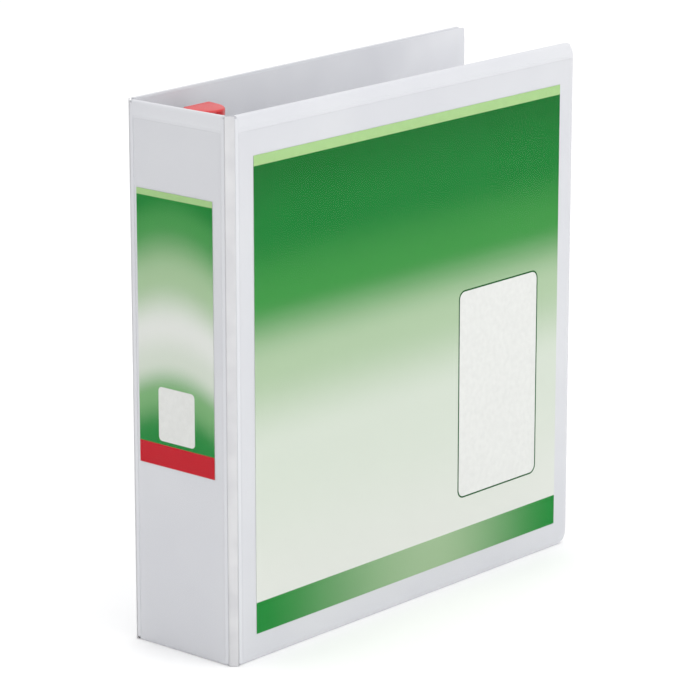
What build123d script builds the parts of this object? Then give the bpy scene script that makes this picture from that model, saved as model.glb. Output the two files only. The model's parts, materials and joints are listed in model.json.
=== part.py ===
"""Three-ring binder with clear-view pockets and a locking slant-D ring mechanism, in millimetres.

The binder stands closed on its bottom edges. X runs from the spine to the fore-edge, Y from the front
cover to the back cover and Z up. The origin is the centre of the bounding box's bottom face.
"""

import math
import os

from build123d import *

# ---- overall sizes -------------------------------------------------------------------------------
cover_height = 295.0  # bottom edge to top edge
cover_depth = 285.0  # spine's outer face to fore-edge
binder_thickness = 76.0  # front cover's outer face to back cover's outer face, at the spine
back_lean = 1.5  # the back cover stands this many degrees open

# ---- cover panels: board wrapped in film, with a clear overlay outside ---------------------------
film = 0.4  # outer film
board = 2.0  # chipboard core
liner = 0.3  # inner film
overlay = 0.25  # clear pocket film
pocket_gap = 0.35  # room for a paper insert under the overlay
rim = 2.0  # welded film around each board
fore_corner = 8.0  # corner radius at the fore-edge
hinge_corner = 1.5  # corner radius beside a hinge
edge_round = 1.1  # rounding of the wrapped outer edges
liner_inset = 0.9  # liner's edge inside the panel's outline

# ---- living hinges: a narrow strip between two creases -------------------------------------------
strip_span = 4.4  # crease to crease
strip_thickness = 0.9
crease_clearance = 0.15
lip_length = 1.4  # thin welded lip from the crease to the thick panel

# ---- pockets and paper inserts -------------------------------------------------------------------
overlay_drop = 9.0  # overlay's open top edge below the panel's top
overlay_side = 1.2  # overlay's welded edge inside the panel's outline
weld_band = 2.0
paper = 0.15
front_insert_hinge_margin = 12.44  # insert's edge to the panel's edge at the hinge
front_insert_fore_margin = 13.0  # insert's edge to the fore-edge
front_insert_top_margin = 22.5
front_insert_bottom = 14.5
spine_insert_front_margin = 7.5  # insert's edge to the spine film's edge beside the front cover
spine_insert_back_margin = 3.4
spine_insert_top_margin = 45.5
spine_insert_bottom = 101.0
inner_pocket_height = 122.0
inner_pocket_gap = 0.4
inner_pocket_margin = 6.0

# ---- ring mechanism ------------------------------------------------------------------------------
mechanism_offset = 40.0  # spine's outer face to the mechanism's centre line
sheet_hole_pitch = 107.95  # four and a quarter inches between punched holes
housing_width = 30.0
housing_height = 10.0  # liner to the crown of the roof
housing_skirt_top = 7.0
housing_bottom = 2.1
housing_steel = 1.0
housing_end_margin = 15.0  # housing's end to the cover's end
roof_end_cut = 13.0  # open length of roof over each lever
side_wall = 2.5  # what the end cut leaves of each side
hook = 1.8  # folded edge that carries a hinge plate
plate_pivot_height = 4.0
plate_steel = 1.2
plate_edge_gap = 0.3  # hinge plate to skirt, and plate to plate
plate_tilt = 6.5  # each plate's tilt from level, closed
plate_round = 0.3  # pivot line's distance inside the plate's outer edge
plate_end_margin = 12.0  # plate's end to the housing's end
finger_width = 10.0
finger_length = 3.8

ring_wire = 4.6
arc_radius = 26.0
arc_centre_height = 34.0
arc_foot = 9.0  # mechanism's centre line to the arc's foot
arc_foot_bend_height = 9.0
arc_foot_bend = 4.0
leg_start = 6.5  # mechanism's centre line to the leg's inner end
leg_start_height = 5.6
leg_corner = (26.0, 6.2)
leg_corner_bend = 5.0
leg_top = 13.0
leg_top_bend = 9.0
tip_pin_radius = 1.1
tip_pin_length = 1.5
tip_clearance = 0.25
ring_joint_gap = 0.1  # between the two halves' ends, closed
ring_slot_clearance = 0.5
leg_slot_clearance = 1.0
arc_slot_clearance = 1.4
arc_slot_land = 0.8  # roof left between an arc's slot and the skirt

# ---- levers --------------------------------------------------------------------------------------
lever_swing = 32.0  # degrees from closed to open
pivot_inset = 5.0  # lever's pivot to the housing's end
pivot_height = 4.4
pivot_pin = 1.2  # radius
pivot_clearance = 0.06
pin_head = 2.0
pin_head_thickness = 0.6
hub = 2.6  # radius of steel round the pivot
hub_corner = 0.7  # share of the hub's radius where slopes meet it
block_corner = 0.6  # share of the hub's radius at the block's upper corner
arm_start_share = 0.8  # share of the hub's radius at the arm's start
cheek_outer = 8.5
cheek_steel = 1.5
lever_knee = (10.5, 5.0)  # from the pivot, outward and up
lever_tip = (9.5, 22.0)
lever_steel = 1.6
tab_width = 17.5
pad_width = 22.0
pad_thickness = 5.0
pad_bottom = 6.5  # above the pivot
pad_overhang = 2.0  # pad past the steel tab's tip
pad_round = 1.2
arch_shoulder = 0.4  # straight share of the arch's sides
arch_tip_round = 3.0
lip_clearance = 0.35  # lifting lip below the plates' fingers
lip_reach = 4.0
lip_steel = 0.8
lip_root = 1.1  # steel below the groove at its wall
groove_wall = 2.4  # pivot to the groove's end
closing_clearance = 1.1  # closing lip above the plates' fingers
closing_reach = 4.2
closing_steel = 0.6
ear_wall = 0.9

# ---- locking slides ------------------------------------------------------------------------------
slide_width = 11.0
slide_steel = 1.0
slide_height = 7.8  # middle of the bar
slide_pin = 0.9  # radius
slide_pin_room = 0.5
slide_inner_end = 4.0  # bar's inner end to the middle of the mechanism
wedge_width = 7.0
wedge_places = (27.5, 55.0)  # from the middle of the mechanism
wedge_clearance = 0.8
wedge_length = 5.3
wedge_overlap = 0.4  # wedge over the edge of its window, closed
slide_slot_clearance = 0.6
window_length = 8.0
window_half_width = 4.0

# ---- posts and rivets that hold the mechanism ----------------------------------------------------
post_place = 85.5  # from the middle of the mechanism
post_radius = 3.0
post_bore = 1.9
post_head_radius = 4.0
post_head = 0.9
post_room = 1.0  # hinge plates' cut to each side of a post
post_tenon = 2.4
post_gap = 0.2  # post's shoulder to the roof
rivet_shank = 1.85
rivet_head_radius = 5.0
rivet_head = 0.8
rivet_clearance = 0.1

# ---- positions that follow from the sizes --------------------------------------------------------
overlay_stack = overlay + pocket_gap
panel = film + board  # thickness of the film tray that holds a board
middle_z = cover_height / 2
spine_face_x = -cover_depth / 2 + overlay_stack  # outer face of the spine's film
fore_x = cover_depth / 2
front_face_y = -binder_thickness / 2 + overlay_stack  # outer face of the front's film
crease_depth = strip_thickness / 2
strip_leg = strip_span / math.sqrt(2)
front_crease = (spine_face_x + crease_depth + strip_leg, front_face_y + crease_depth)
spine_crease = (spine_face_x + crease_depth, front_face_y + crease_depth + strip_leg)
panel_start_x = front_crease[0] + lip_length
panel_length = fore_x - panel_start_x
panel_middle_x = (fore_x + panel_start_x) / 2
spine_half = -spine_crease[1] - lip_length  # half the thick width of the spine
seat_y = -front_face_y - panel - liner  # the back liner's inner face, which the mechanism sits on
mechanism_x = -cover_depth / 2 + mechanism_offset
housing_half = housing_width / 2
housing_top_z = cover_height - housing_end_margin
housing_length = cover_height - 2 * housing_end_margin
pivot_z = housing_top_z - pivot_inset
plate_outer = housing_half - housing_steel - plate_edge_gap
plate_pivot = plate_outer - plate_round
plate_top_z = housing_top_z - plate_end_margin
ring_heights = [middle_z + place * sheet_hole_pitch for place in (1, 0, -1)]
level_names = ("top", "middle", "bottom")
post_heights = (middle_z + post_place, middle_z - post_place)
slide_rise = slide_height - pivot_height  # bar's middle above the levers' pivots
slide_travel = 2 * slide_rise * math.tan(math.radians(lever_swing / 2))

# the leaned back cover's outer edge reaches further back, so the whole binder moves half of that
back_crease = (front_crease[0], -front_crease[1])
reach_x = fore_x - overlay_side - back_crease[0]
reach_y = binder_thickness / 2 - back_crease[1]
lean_angle = math.radians(back_lean)
back_reach = back_crease[1] + reach_x * math.sin(lean_angle) + reach_y * math.cos(lean_angle)
centre_shift = (back_reach - binder_thickness / 2) / 2
back_hinge_axis = Axis((*back_crease, 0), (0, 0, 1))


def section(height):
    """The mechanism's cross-section at a height: x towards the fore-edge, y away from the back cover.

    Its extrusions go down."""
    return Plane(origin=(mechanism_x, seat_y, height), x_dir=(1, 0, 0), z_dir=(0, 0, -1))


def side_view(across):
    """The top lever's side view: x up from its pivot, y away from the back cover's liner.

    Its extrusions go towards the fore-edge."""
    return Plane(origin=(mechanism_x + across, seat_y, pivot_z), x_dir=(0, 0, 1), z_dir=(1, 0, 0))


def save(part, name, on_back=False):
    """Writes a piece in its standing place; what rides on the back cover leans with it."""
    leaned = part.rotate(back_hinge_axis, back_lean) if on_back else part
    placed = leaned.moved(Location((0, -centre_shift, 0)))
    placed.label = name
    export_step(placed, f"parts/{name}.step")


os.makedirs("parts", exist_ok=True)
mirror_to_back = Plane.XZ
mirror_to_bottom = Plane.XY.offset(middle_z)

# ==== front cover =================================================================================
front_outside = Plane.XZ.offset(-front_face_y)  # its normal points out of the front cover

with BuildPart() as front_outer_film:
    with BuildSketch(front_outside.offset(-panel)) as outline:
        with Locations((panel_middle_x, middle_z)):
            Rectangle(panel_length, cover_height)
        fillet(outline.vertices().group_by(Axis.X)[-1], fore_corner)
        fillet(outline.vertices().group_by(Axis.X)[0], hinge_corner)
    extrude(amount=panel)
    fillet(front_outer_film.faces().sort_by(Axis.Y)[0].edges(), edge_round)
    with BuildSketch(front_outside.offset(-panel)):
        with Locations((panel_middle_x, middle_z)):
            RectangleRounded(panel_length - 2 * rim, cover_height - 2 * rim, fore_corner - rim)
    extrude(amount=board, mode=Mode.SUBTRACT)
    with BuildSketch(Plane.XY.offset(hinge_corner)):
        with Locations(((front_crease[0] + panel_start_x + rim) / 2, front_crease[1])):
            Rectangle(lip_length + rim, strip_thickness)
        with Locations(front_crease):
            Circle(crease_depth + crease_clearance, mode=Mode.SUBTRACT)
    extrude(amount=cover_height - 2 * hinge_corner)

with BuildPart() as front_board:
    with BuildSketch(front_outside.offset(-panel)):
        with Locations((panel_middle_x, middle_z)):
            RectangleRounded(panel_length - 2 * rim, cover_height - 2 * rim, fore_corner - rim)
    extrude(amount=board)

with BuildPart() as front_inner_liner:
    with BuildSketch(front_outside.offset(-panel - liner)):
        with Locations((panel_middle_x, middle_z)):
            RectangleRounded(
                panel_length - 2 * liner_inset, cover_height - 2 * liner_inset, hinge_corner
            )
    extrude(amount=liner)

overlay_height = cover_height - overlay_drop - overlay_side
overlay_length = panel_length - 2 * overlay_side
overlay_middle_z = overlay_side + overlay_height / 2
with BuildPart() as front_overlay:
    with BuildSketch(front_outside) as outline:
        with Locations((panel_middle_x, overlay_middle_z)):
            Rectangle(overlay_length, overlay_height)
        fillet(
            outline.vertices().group_by(Axis.Z)[0].sort_by(Axis.X)[-1],
            fore_corner - overlay_side,
        )
    extrude(amount=overlay_stack)
    with BuildSketch(front_outside):
        with Locations((panel_middle_x, overlay_middle_z + weld_band)):
            Rectangle(overlay_length - 2 * weld_band, overlay_height)
    extrude(amount=pocket_gap, mode=Mode.SUBTRACT)

insert_float = (pocket_gap - paper) / 2
front_insert_width = panel_length - front_insert_hinge_margin - front_insert_fore_margin
front_insert_height = cover_height - front_insert_top_margin - front_insert_bottom
with BuildPart() as front_insert:
    with BuildSketch(front_outside.offset(insert_float)):
        with Locations(
            (
                fore_x - front_insert_fore_margin - front_insert_width / 2,
                front_insert_bottom + front_insert_height / 2,
            )
        ):
            Rectangle(front_insert_width, front_insert_height)
    extrude(amount=paper)

pocket_start_x = mechanism_x + leg_corner[0] + ring_wire / 2 + inner_pocket_margin
pocket_length = fore_x - inner_pocket_margin - pocket_start_x
pocket_stack = overlay + inner_pocket_gap
with BuildPart() as front_inner_pocket:
    with BuildSketch(front_outside.offset(-panel - liner - pocket_stack)):
        with Locations(
            (pocket_start_x + pocket_length / 2, inner_pocket_margin + inner_pocket_height / 2)
        ):
            Rectangle(pocket_length, inner_pocket_height)
    extrude(amount=pocket_stack)
    with BuildSketch(front_outside.offset(-panel - liner - inner_pocket_gap)):
        with Locations(
            (
                pocket_start_x + pocket_length / 2,
                inner_pocket_margin + weld_band + inner_pocket_height / 2,
            )
        ):
            Rectangle(pocket_length - 2 * weld_band, inner_pocket_height)
    extrude(amount=inner_pocket_gap, mode=Mode.SUBTRACT)

with BuildPart() as front_hinge_strip:
    strip_middle = (
        (front_crease[0] + spine_crease[0]) / 2,
        (front_crease[1] + spine_crease[1]) / 2,
    )
    with BuildSketch(Plane.XY.offset(hinge_corner)):
        with Locations(strip_middle):
            SlotCenterToCenter(strip_span, strip_thickness, rotation=-45)
    extrude(amount=cover_height - 2 * hinge_corner)

# ==== spine =======================================================================================
spine_outside = Plane.YZ.offset(spine_face_x)  # its normal points into the binder

with BuildPart() as spine_outer_film:
    with BuildSketch(spine_outside) as outline:
        with Locations((0, middle_z)):
            RectangleRounded(2 * spine_half, cover_height, hinge_corner)
    extrude(amount=panel)
    fillet(spine_outer_film.faces().sort_by(Axis.X)[0].edges(), edge_round)
    with BuildSketch(spine_outside.offset(film)):
        with Locations((0, middle_z)):
            Rectangle(2 * (spine_half - rim), cover_height - 2 * rim)
    extrude(amount=board, mode=Mode.SUBTRACT)
    with BuildSketch(Plane.XY.offset(hinge_corner)):
        lip_middle_y = spine_half + (lip_length - rim) / 2
        with Locations((spine_crease[0], lip_middle_y), (spine_crease[0], -lip_middle_y)):
            Rectangle(strip_thickness, lip_length + rim)
        with Locations(spine_crease, (spine_crease[0], -spine_crease[1])):
            Circle(crease_depth + crease_clearance, mode=Mode.SUBTRACT)
    extrude(amount=cover_height - 2 * hinge_corner)

with BuildPart() as spine_board:
    with BuildSketch(spine_outside.offset(film)):
        with Locations((0, middle_z)):
            Rectangle(2 * (spine_half - rim), cover_height - 2 * rim)
    extrude(amount=board)

with BuildPart() as spine_inner_liner:
    with BuildSketch(spine_outside.offset(panel)):
        with Locations((0, middle_z)):
            Rectangle(2 * (spine_half - liner_inset), cover_height - 2 * liner_inset)
    extrude(amount=liner)

spine_overlay_width = 2 * (spine_half - overlay_side)
with BuildPart() as spine_overlay:
    with BuildSketch(spine_outside.offset(-overlay_stack)):
        with Locations((0, overlay_middle_z)):
            Rectangle(spine_overlay_width, overlay_height)
    extrude(amount=overlay_stack)
    with BuildSketch(spine_outside.offset(-pocket_gap)):
        with Locations((0, overlay_middle_z + weld_band)):
            Rectangle(spine_overlay_width - 2 * weld_band, overlay_height)
    extrude(amount=pocket_gap, mode=Mode.SUBTRACT)

spine_insert_width = 2 * spine_half - spine_insert_front_margin - spine_insert_back_margin
spine_insert_height = cover_height - spine_insert_top_margin - spine_insert_bottom
with BuildPart() as spine_insert:
    with BuildSketch(spine_outside.offset(-insert_float - paper)):
        with Locations(
            (
                spine_insert_front_margin + spine_insert_width / 2 - spine_half,
                spine_insert_bottom + spine_insert_height / 2,
            )
        ):
            Rectangle(spine_insert_width, spine_insert_height)
    extrude(amount=paper)

# ==== back cover: the front cover's mirror image, drilled for two rivets ==========================
back_outside = Plane.XZ.offset(front_face_y)  # on the back's film, facing into the binder


def rivet_places():
    """Both rivets on the back cover, in the coordinates of a plane parallel to XZ."""
    return Locations(*[(mechanism_x, height) for height in post_heights])


with BuildPart() as back_outer_film:
    mirror(front_outer_film.part, about=mirror_to_back)
    with BuildSketch(back_outside):
        with rivet_places():
            Circle(rivet_head_radius)
    extrude(amount=min(rivet_head, film), mode=Mode.SUBTRACT)

with BuildPart() as back_board:
    mirror(front_board.part, about=mirror_to_back)
    with BuildSketch(back_outside):
        with rivet_places():
            Circle(rivet_shank)
    extrude(amount=panel, mode=Mode.SUBTRACT)
    with BuildSketch(back_outside):
        with rivet_places():
            Circle(rivet_head_radius)
    extrude(amount=rivet_head, mode=Mode.SUBTRACT)

with BuildPart() as back_inner_liner:
    mirror(front_inner_liner.part, about=mirror_to_back)
    with BuildSketch(back_outside):
        with rivet_places():
            Circle(rivet_shank)
    extrude(amount=panel + liner, mode=Mode.SUBTRACT)

with BuildPart() as back_overlay:
    mirror(front_overlay.part, about=mirror_to_back)

with BuildPart() as back_inner_pocket:
    mirror(front_inner_pocket.part, about=mirror_to_back)

with BuildPart() as back_hinge_strip:
    mirror(front_hinge_strip.part, about=mirror_to_back)

# ==== housing of the ring mechanism ===============================================================
roof_inner_edge = housing_skirt_top - housing_steel / 2
arc_slot_inner = arc_foot - ring_wire / 2 - arc_slot_clearance
arc_slot_outer = housing_half - housing_steel - arc_slot_land
hook_inner = housing_half - housing_steel - hook

with BuildPart() as ring_housing:
    with BuildSketch(section(housing_top_z)):
        with BuildLine():
            roof = ThreePointArc(
                (-housing_half, housing_skirt_top),
                (0, housing_height),
                (housing_half, housing_skirt_top),
            )
            Polyline(
                roof @ 1,
                (housing_half, housing_bottom),
                (-housing_half, housing_bottom),
                roof @ 0,
            )
        make_face()
        with BuildLine(mode=Mode.PRIVATE) as hollow:
            ceiling = ThreePointArc(
                (-housing_half + housing_steel, roof_inner_edge),
                (0, housing_height - housing_steel),
                (housing_half - housing_steel, roof_inner_edge),
            )
            Polyline(
                ceiling @ 1,
                (housing_half - housing_steel, housing_bottom + housing_steel),
                (-housing_half + housing_steel, housing_bottom + housing_steel),
                ceiling @ 0,
            )
        make_face(hollow.edges(), mode=Mode.SUBTRACT)
        with Locations((0, housing_bottom + housing_steel / 2)):
            Rectangle(2 * hook_inner, housing_steel, mode=Mode.SUBTRACT)
    extrude(amount=housing_length)
    # open roof over each lever, between the two side walls
    end_cut_width = housing_width - 2 * side_wall
    for end_z in (housing_top_z, cover_height - housing_top_z + roof_end_cut):
        with BuildSketch(section(end_z)):
            with Locations((0, housing_bottom + housing_height / 2)):
                Rectangle(end_cut_width, housing_height)
        extrude(amount=roof_end_cut, mode=Mode.SUBTRACT)
    # lever pivots
    for height in (pivot_z, cover_height - pivot_z):
        with BuildSketch(Plane.YZ.offset(mechanism_x - housing_half)):
            with Locations((seat_y - pivot_height, height)):
                Circle(pivot_pin + pivot_clearance)
        extrude(amount=housing_width, mode=Mode.SUBTRACT)
    # slots for the rings, open towards each side
    slot_length = ring_wire + 2 * ring_slot_clearance
    for height in ring_heights:
        with BuildSketch(section(height + slot_length / 2)):
            with Locations((leg_start - leg_slot_clearance, 0)):
                Rectangle(housing_half, 2 * housing_height, align=(Align.MIN, Align.CENTER))
            with Locations((-(arc_slot_inner + arc_slot_outer) / 2, housing_height)):
                Rectangle(arc_slot_outer - arc_slot_inner, housing_height)
        extrude(amount=slot_length, mode=Mode.SUBTRACT)
    # seats of the two posts
    with BuildSketch(Plane.XZ.offset(-seat_y)):
        with Locations(*[(mechanism_x, height) for height in post_heights]):
            Circle(post_tenon)
    extrude(amount=2 * housing_height, mode=Mode.SUBTRACT)

# ==== posts and rivets ============================================================================
roof_underside = housing_height - housing_steel
with BuildPart() as mounting_posts:
    for height in post_heights:
        with BuildSketch(Plane.XZ.offset(-seat_y)):
            with Locations((mechanism_x, height)):
                Circle(post_radius)
        extrude(amount=roof_underside - post_gap)
        with BuildSketch(Plane.XZ.offset(-seat_y)):
            with Locations((mechanism_x, height)):
                Circle(post_tenon)
        extrude(amount=housing_height + post_head)
        with BuildSketch(Plane.XZ.offset(-seat_y + housing_height)):
            with Locations((mechanism_x, height)):
                Circle(post_head_radius)
        extrude(amount=post_head)
    fillet(mounting_posts.faces().group_by(Axis.Y)[0].edges(), post_head / 2)
    with BuildSketch(Plane.XZ.offset(-seat_y)):
        with Locations(*[(mechanism_x, height) for height in post_heights]):
            Circle(post_bore)
    extrude(amount=roof_underside / 2, mode=Mode.SUBTRACT)

with BuildPart() as cover_rivets:
    with BuildSketch(back_outside):
        with rivet_places():
            Circle(rivet_head_radius - rivet_clearance)
    extrude(amount=rivet_head)
    with BuildSketch(back_outside):
        with rivet_places():
            Circle(rivet_shank)
    extrude(amount=panel + liner + roof_underside / 2)

# ==== hinge plates ================================================================================
plate_width = (plate_pivot + plate_round - plate_edge_gap / 2) / math.cos(math.radians(plate_tilt))


def plate_profile_plane(height, side):
    """The cross-section with its origin on a plate's pivot line, turned to the closed plate's tilt."""
    flat = section(height)
    pivot = flat.from_local_coords((side * plate_pivot, plate_pivot_height))
    tilt = math.radians(side * plate_tilt)
    return Plane(origin=pivot, x_dir=(math.cos(tilt), -math.sin(tilt), 0), z_dir=(0, 0, -1))


def cut_plate_windows():
    """Cuts the room round the posts and the locking windows at both plates' meeting edge."""
    with BuildSketch(Plane.XZ.offset(-seat_y)) as windows:
        for height in post_heights:
            with Locations((mechanism_x, height)):
                Rectangle(2 * (post_radius + post_room), 2 * (post_radius + post_room))
        for place in wedge_places:
            for direction in (1, -1):
                with Locations((mechanism_x, middle_z + direction * (place + window_length / 2))):
                    Rectangle(2 * window_half_width, window_length)
    extrude(windows.sketch, amount=housing_height, mode=Mode.SUBTRACT)


def trim_finger_ends():
    """Leaves only the narrow fingers of the plates past their main length, at both ends."""
    for end_z in (plate_top_z + finger_length, cover_height - plate_top_z):
        with BuildSketch(section(end_z)) as beside_fingers:
            Rectangle(2 * housing_width, 4 * housing_height)
            Rectangle(finger_width, 4 * housing_height, mode=Mode.SUBTRACT)
        extrude(beside_fingers.sketch, amount=finger_length, mode=Mode.SUBTRACT)


plate_length = 2 * (plate_top_z + finger_length - middle_z)
hinge_plates = {}
for name, side in (("fore_side", 1), ("spine_side", -1)):
    with BuildPart() as plate:
        with BuildSketch(plate_profile_plane(plate_top_z + finger_length, side)):
            with Locations((side * plate_round, 0)):
                Rectangle(
                    plate_width,
                    plate_steel,
                    align=(Align.MAX if side > 0 else Align.MIN, Align.CENTER),
                )
        extrude(amount=plate_length)
        trim_finger_ends()
        cut_plate_windows()
    hinge_plates[name] = plate

# ==== rings: a slanted straight leg and a round arc, three times ==================================
foot_reach = math.hypot(arc_foot, arc_centre_height - arc_foot_bend_height)
foot_bearing = 180 + math.degrees(
    math.atan2(arc_centre_height - arc_foot_bend_height, arc_foot)
)
arc_end = foot_bearing - math.degrees(math.acos(arc_radius / foot_reach))
ring_top = arc_centre_height + arc_radius

arc_rings = {}
leg_rings = {}
for name, height in zip(level_names, ring_heights):
    with BuildPart() as arc_ring:
        with BuildLine(section(height)) as arc_path:
            bow = CenterArc((0, arc_centre_height), arc_radius, 90, arc_end - 90)
            FilletPolyline(
                bow @ 1,
                (-arc_foot, arc_foot_bend_height),
                (-arc_foot, plate_pivot_height - plate_steel / 2),
                radius=arc_foot_bend,
            )
        with BuildSketch(Plane(origin=arc_path.line @ 0, z_dir=arc_path.line % 0)):
            Circle(ring_wire / 2)
        sweep(path=arc_path.line)
        # socket for the other half's pin
        with BuildSketch(Plane(origin=arc_path.line @ 0, z_dir=arc_path.line % 0)):
            Circle(tip_pin_radius + tip_clearance)
        extrude(amount=tip_pin_length + tip_clearance, mode=Mode.SUBTRACT)
        add(hinge_plates["spine_side"].part, mode=Mode.SUBTRACT)
    arc_rings[name] = arc_ring

    with BuildPart() as leg_ring:
        with BuildLine(section(height)) as leg_path:
            FilletPolyline(
                (ring_joint_gap, ring_top),
                (leg_top, ring_top),
                leg_corner,
                (leg_start, leg_start_height),
                radius=[leg_top_bend, leg_corner_bend],
            )
        with BuildSketch(Plane(origin=leg_path.line @ 0, z_dir=leg_path.line % 0)):
            Circle(ring_wire / 2)
        sweep(path=leg_path.line)
        with BuildSketch(Plane(origin=leg_path.line @ 0, z_dir=leg_path.line % 0)):
            Circle(tip_pin_radius)
        extrude(amount=-tip_pin_length)
        add(hinge_plates["fore_side"].part, mode=Mode.SUBTRACT)
    leg_rings[name] = leg_ring

# ==== levers, their pads and their pins ===========================================================
slide_pin_start = -slide_travel / 2  # the pin's place along the lever's side view, closed
cheek_inner = cheek_outer - cheek_steel
ear_angle = math.atan2(slide_rise, slide_pin_start)
ear_reach = (slide_rise + math.hypot(slide_rise, slide_pin_start)) / 2
ear = (ear_reach * math.cos(ear_angle), pivot_height + ear_reach * math.sin(ear_angle))
ear_hole = slide_pin + slide_pin_room
knee = (lever_knee[0], pivot_height + lever_knee[1])
tip = (lever_tip[0], pivot_height + lever_tip[1])
tab_lean = math.atan2(tip[0] - knee[0], tip[1] - knee[1])
tab_length = math.dist(knee, tip)
tab_plane = Plane(
    origin=side_view(0).from_local_coords(knee),
    x_dir=(-1, 0, 0),
    z_dir=(0, math.sin(tab_lean), math.cos(tab_lean)),
)
plate_low = plate_pivot_height - plate_pivot * math.sin(math.radians(plate_tilt))
lip_top = plate_low - plate_steel / 2 - lip_clearance
closing_lip = plate_low + plate_steel / 2 + closing_clearance
arm_start = (hub * arm_start_share, pivot_height)
arm_angle = math.degrees(math.atan2(knee[1] - arm_start[1], knee[0] - arm_start[0]))


def arch(plane, width, start, end):
    """A pointed arch on a plane, from its straight base at start to its rounded tip at end."""
    shoulder = start + arch_shoulder * (end - start)
    with BuildSketch(plane) as outline:
        with BuildLine():
            Polyline((-width / 2, shoulder), (-width / 2, start), (width / 2, start), (width / 2, shoulder))
            for side in (1, -1):
                TangentArc((side * width / 2, shoulder), (0, end), tangent=(0, 1))
        make_face()
        fillet(outline.vertices().sort_by(Axis(plane.origin, plane.y_dir))[-1], arch_tip_round)
    return outline.sketch


with BuildPart() as top_lever:
    # two cheeks: hub, ear for the slide's pin, and web up to the knee
    for across in (-cheek_outer, cheek_inner):
        with BuildSketch(side_view(across)):
            with Locations((0, pivot_height)):
                Circle(hub)
            with Locations(ear):
                Circle(ear_hole + ear_wall)
            with BuildLine():
                Polyline(
                    (-hub * hub_corner, pivot_height + hub * hub_corner),
                    (hub * hub_corner, pivot_height - hub * hub_corner),
                    (knee[0] + lever_steel / 2, knee[1] - lever_steel),
                    (knee[0] + lever_steel / 2, knee[1] + lever_steel),
                    (knee[0] - lever_steel, knee[1] + lever_steel),
                    close=True,
                )
            make_face()
            with Locations((0, pivot_height)):
                Circle(pivot_pin + pivot_clearance, mode=Mode.SUBTRACT)
            with Locations(ear):
                Circle(ear_hole, mode=Mode.SUBTRACT)
        extrude(amount=cheek_steel)
    # cross block with the groove that lifts and lowers the plates' fingers, and the sloping arm
    with BuildSketch(side_view(-cheek_outer)):
        with BuildLine():
            Polyline(
                (0, lip_top - lip_root),
                (-lip_reach, lip_top - lip_steel),
                (-lip_reach, lip_top),
                (-groove_wall, lip_top),
                (-groove_wall, closing_lip),
                (-closing_reach, closing_lip),
                (-closing_reach, closing_lip + closing_steel),
                (-hub * hub_corner, pivot_height + hub * hub_corner),
                (hub * block_corner, pivot_height + hub),
                (hub, pivot_height),
                (hub * hub_corner, pivot_height - hub * hub_corner),
                close=True,
            )
        make_face()
        with Locations(Location((*arm_start, 0), (0, 0, arm_angle))):
            Rectangle(math.dist(arm_start, knee), lever_steel, align=(Align.MIN, Align.CENTER))
        with Locations((0, pivot_height)):
            Circle(pivot_pin + pivot_clearance, mode=Mode.SUBTRACT)
    extrude(amount=2 * cheek_outer)
    extrude(arch(tab_plane.offset(-lever_steel / 2), tab_width, 0, tab_length), amount=lever_steel)

with BuildPart() as top_lever_pad:
    pad_plane = tab_plane.offset(-pad_thickness / 2)
    pad_start = pad_bottom - lever_knee[1]
    extrude(arch(pad_plane, pad_width, pad_start, tab_length + pad_overhang), amount=pad_thickness)
    pad_face = top_lever_pad.faces().sort_by(Axis(tab_plane.origin, tab_plane.z_dir))[-1]
    fillet(pad_face.edges(), pad_round)
    add(top_lever.part, mode=Mode.SUBTRACT)

with BuildPart() as top_pivot_pin:
    with BuildSketch(Plane.YZ.offset(mechanism_x - housing_half - pin_head_thickness)):
        with Locations((seat_y - pivot_height, pivot_z)):
            Circle(pivot_pin)
    extrude(amount=housing_width + 2 * pin_head_thickness)
    for side in (-1, 1):
        with BuildSketch(Plane.YZ.offset(mechanism_x + side * housing_half)):
            with Locations((seat_y - pivot_height, pivot_z)):
                Circle(pin_head)
        extrude(amount=side * pin_head_thickness)

# ==== locking slides ==============================================================================
slide_end = pivot_z + slide_pin_start
slide_start = middle_z + slide_inner_end
wedge_foot = plate_low + plate_steel / 2 + wedge_clearance
with BuildPart() as top_slide:
    with BuildSketch(Plane.XZ.offset(-seat_y + slide_height - slide_steel / 2)):
        with Locations((mechanism_x, (slide_start + slide_end) / 2)):
            Rectangle(slide_width, slide_end - slide_start)
        with Locations((mechanism_x, middle_z + post_place - slide_travel / 2)):
            Rectangle(
                2 * (post_radius + slide_slot_clearance),
                2 * (post_radius + slide_slot_clearance) + slide_travel,
                mode=Mode.SUBTRACT,
            )
    extrude(amount=slide_steel)
    with BuildSketch(Plane.XZ.offset(-seat_y + wedge_foot)):
        for place in wedge_places:
            with Locations((mechanism_x, middle_z + place - wedge_overlap + wedge_length / 2)):
                Rectangle(wedge_width, wedge_length)
    extrude(amount=slide_height - slide_steel / 2 - wedge_foot)
    with BuildSketch(Plane.YZ.offset(mechanism_x - cheek_outer)):
        with Locations((seat_y - slide_height, slide_end)):
            Circle(slide_pin)
    extrude(amount=2 * cheek_outer)

# ==== the same at the bottom ======================================================================
with BuildPart() as bottom_lever:
    mirror(top_lever.part, about=mirror_to_bottom)

with BuildPart() as bottom_lever_pad:
    mirror(top_lever_pad.part, about=mirror_to_bottom)

with BuildPart() as bottom_pivot_pin:
    mirror(top_pivot_pin.part, about=mirror_to_bottom)

with BuildPart() as bottom_slide:
    mirror(top_slide.part, about=mirror_to_bottom)

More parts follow.
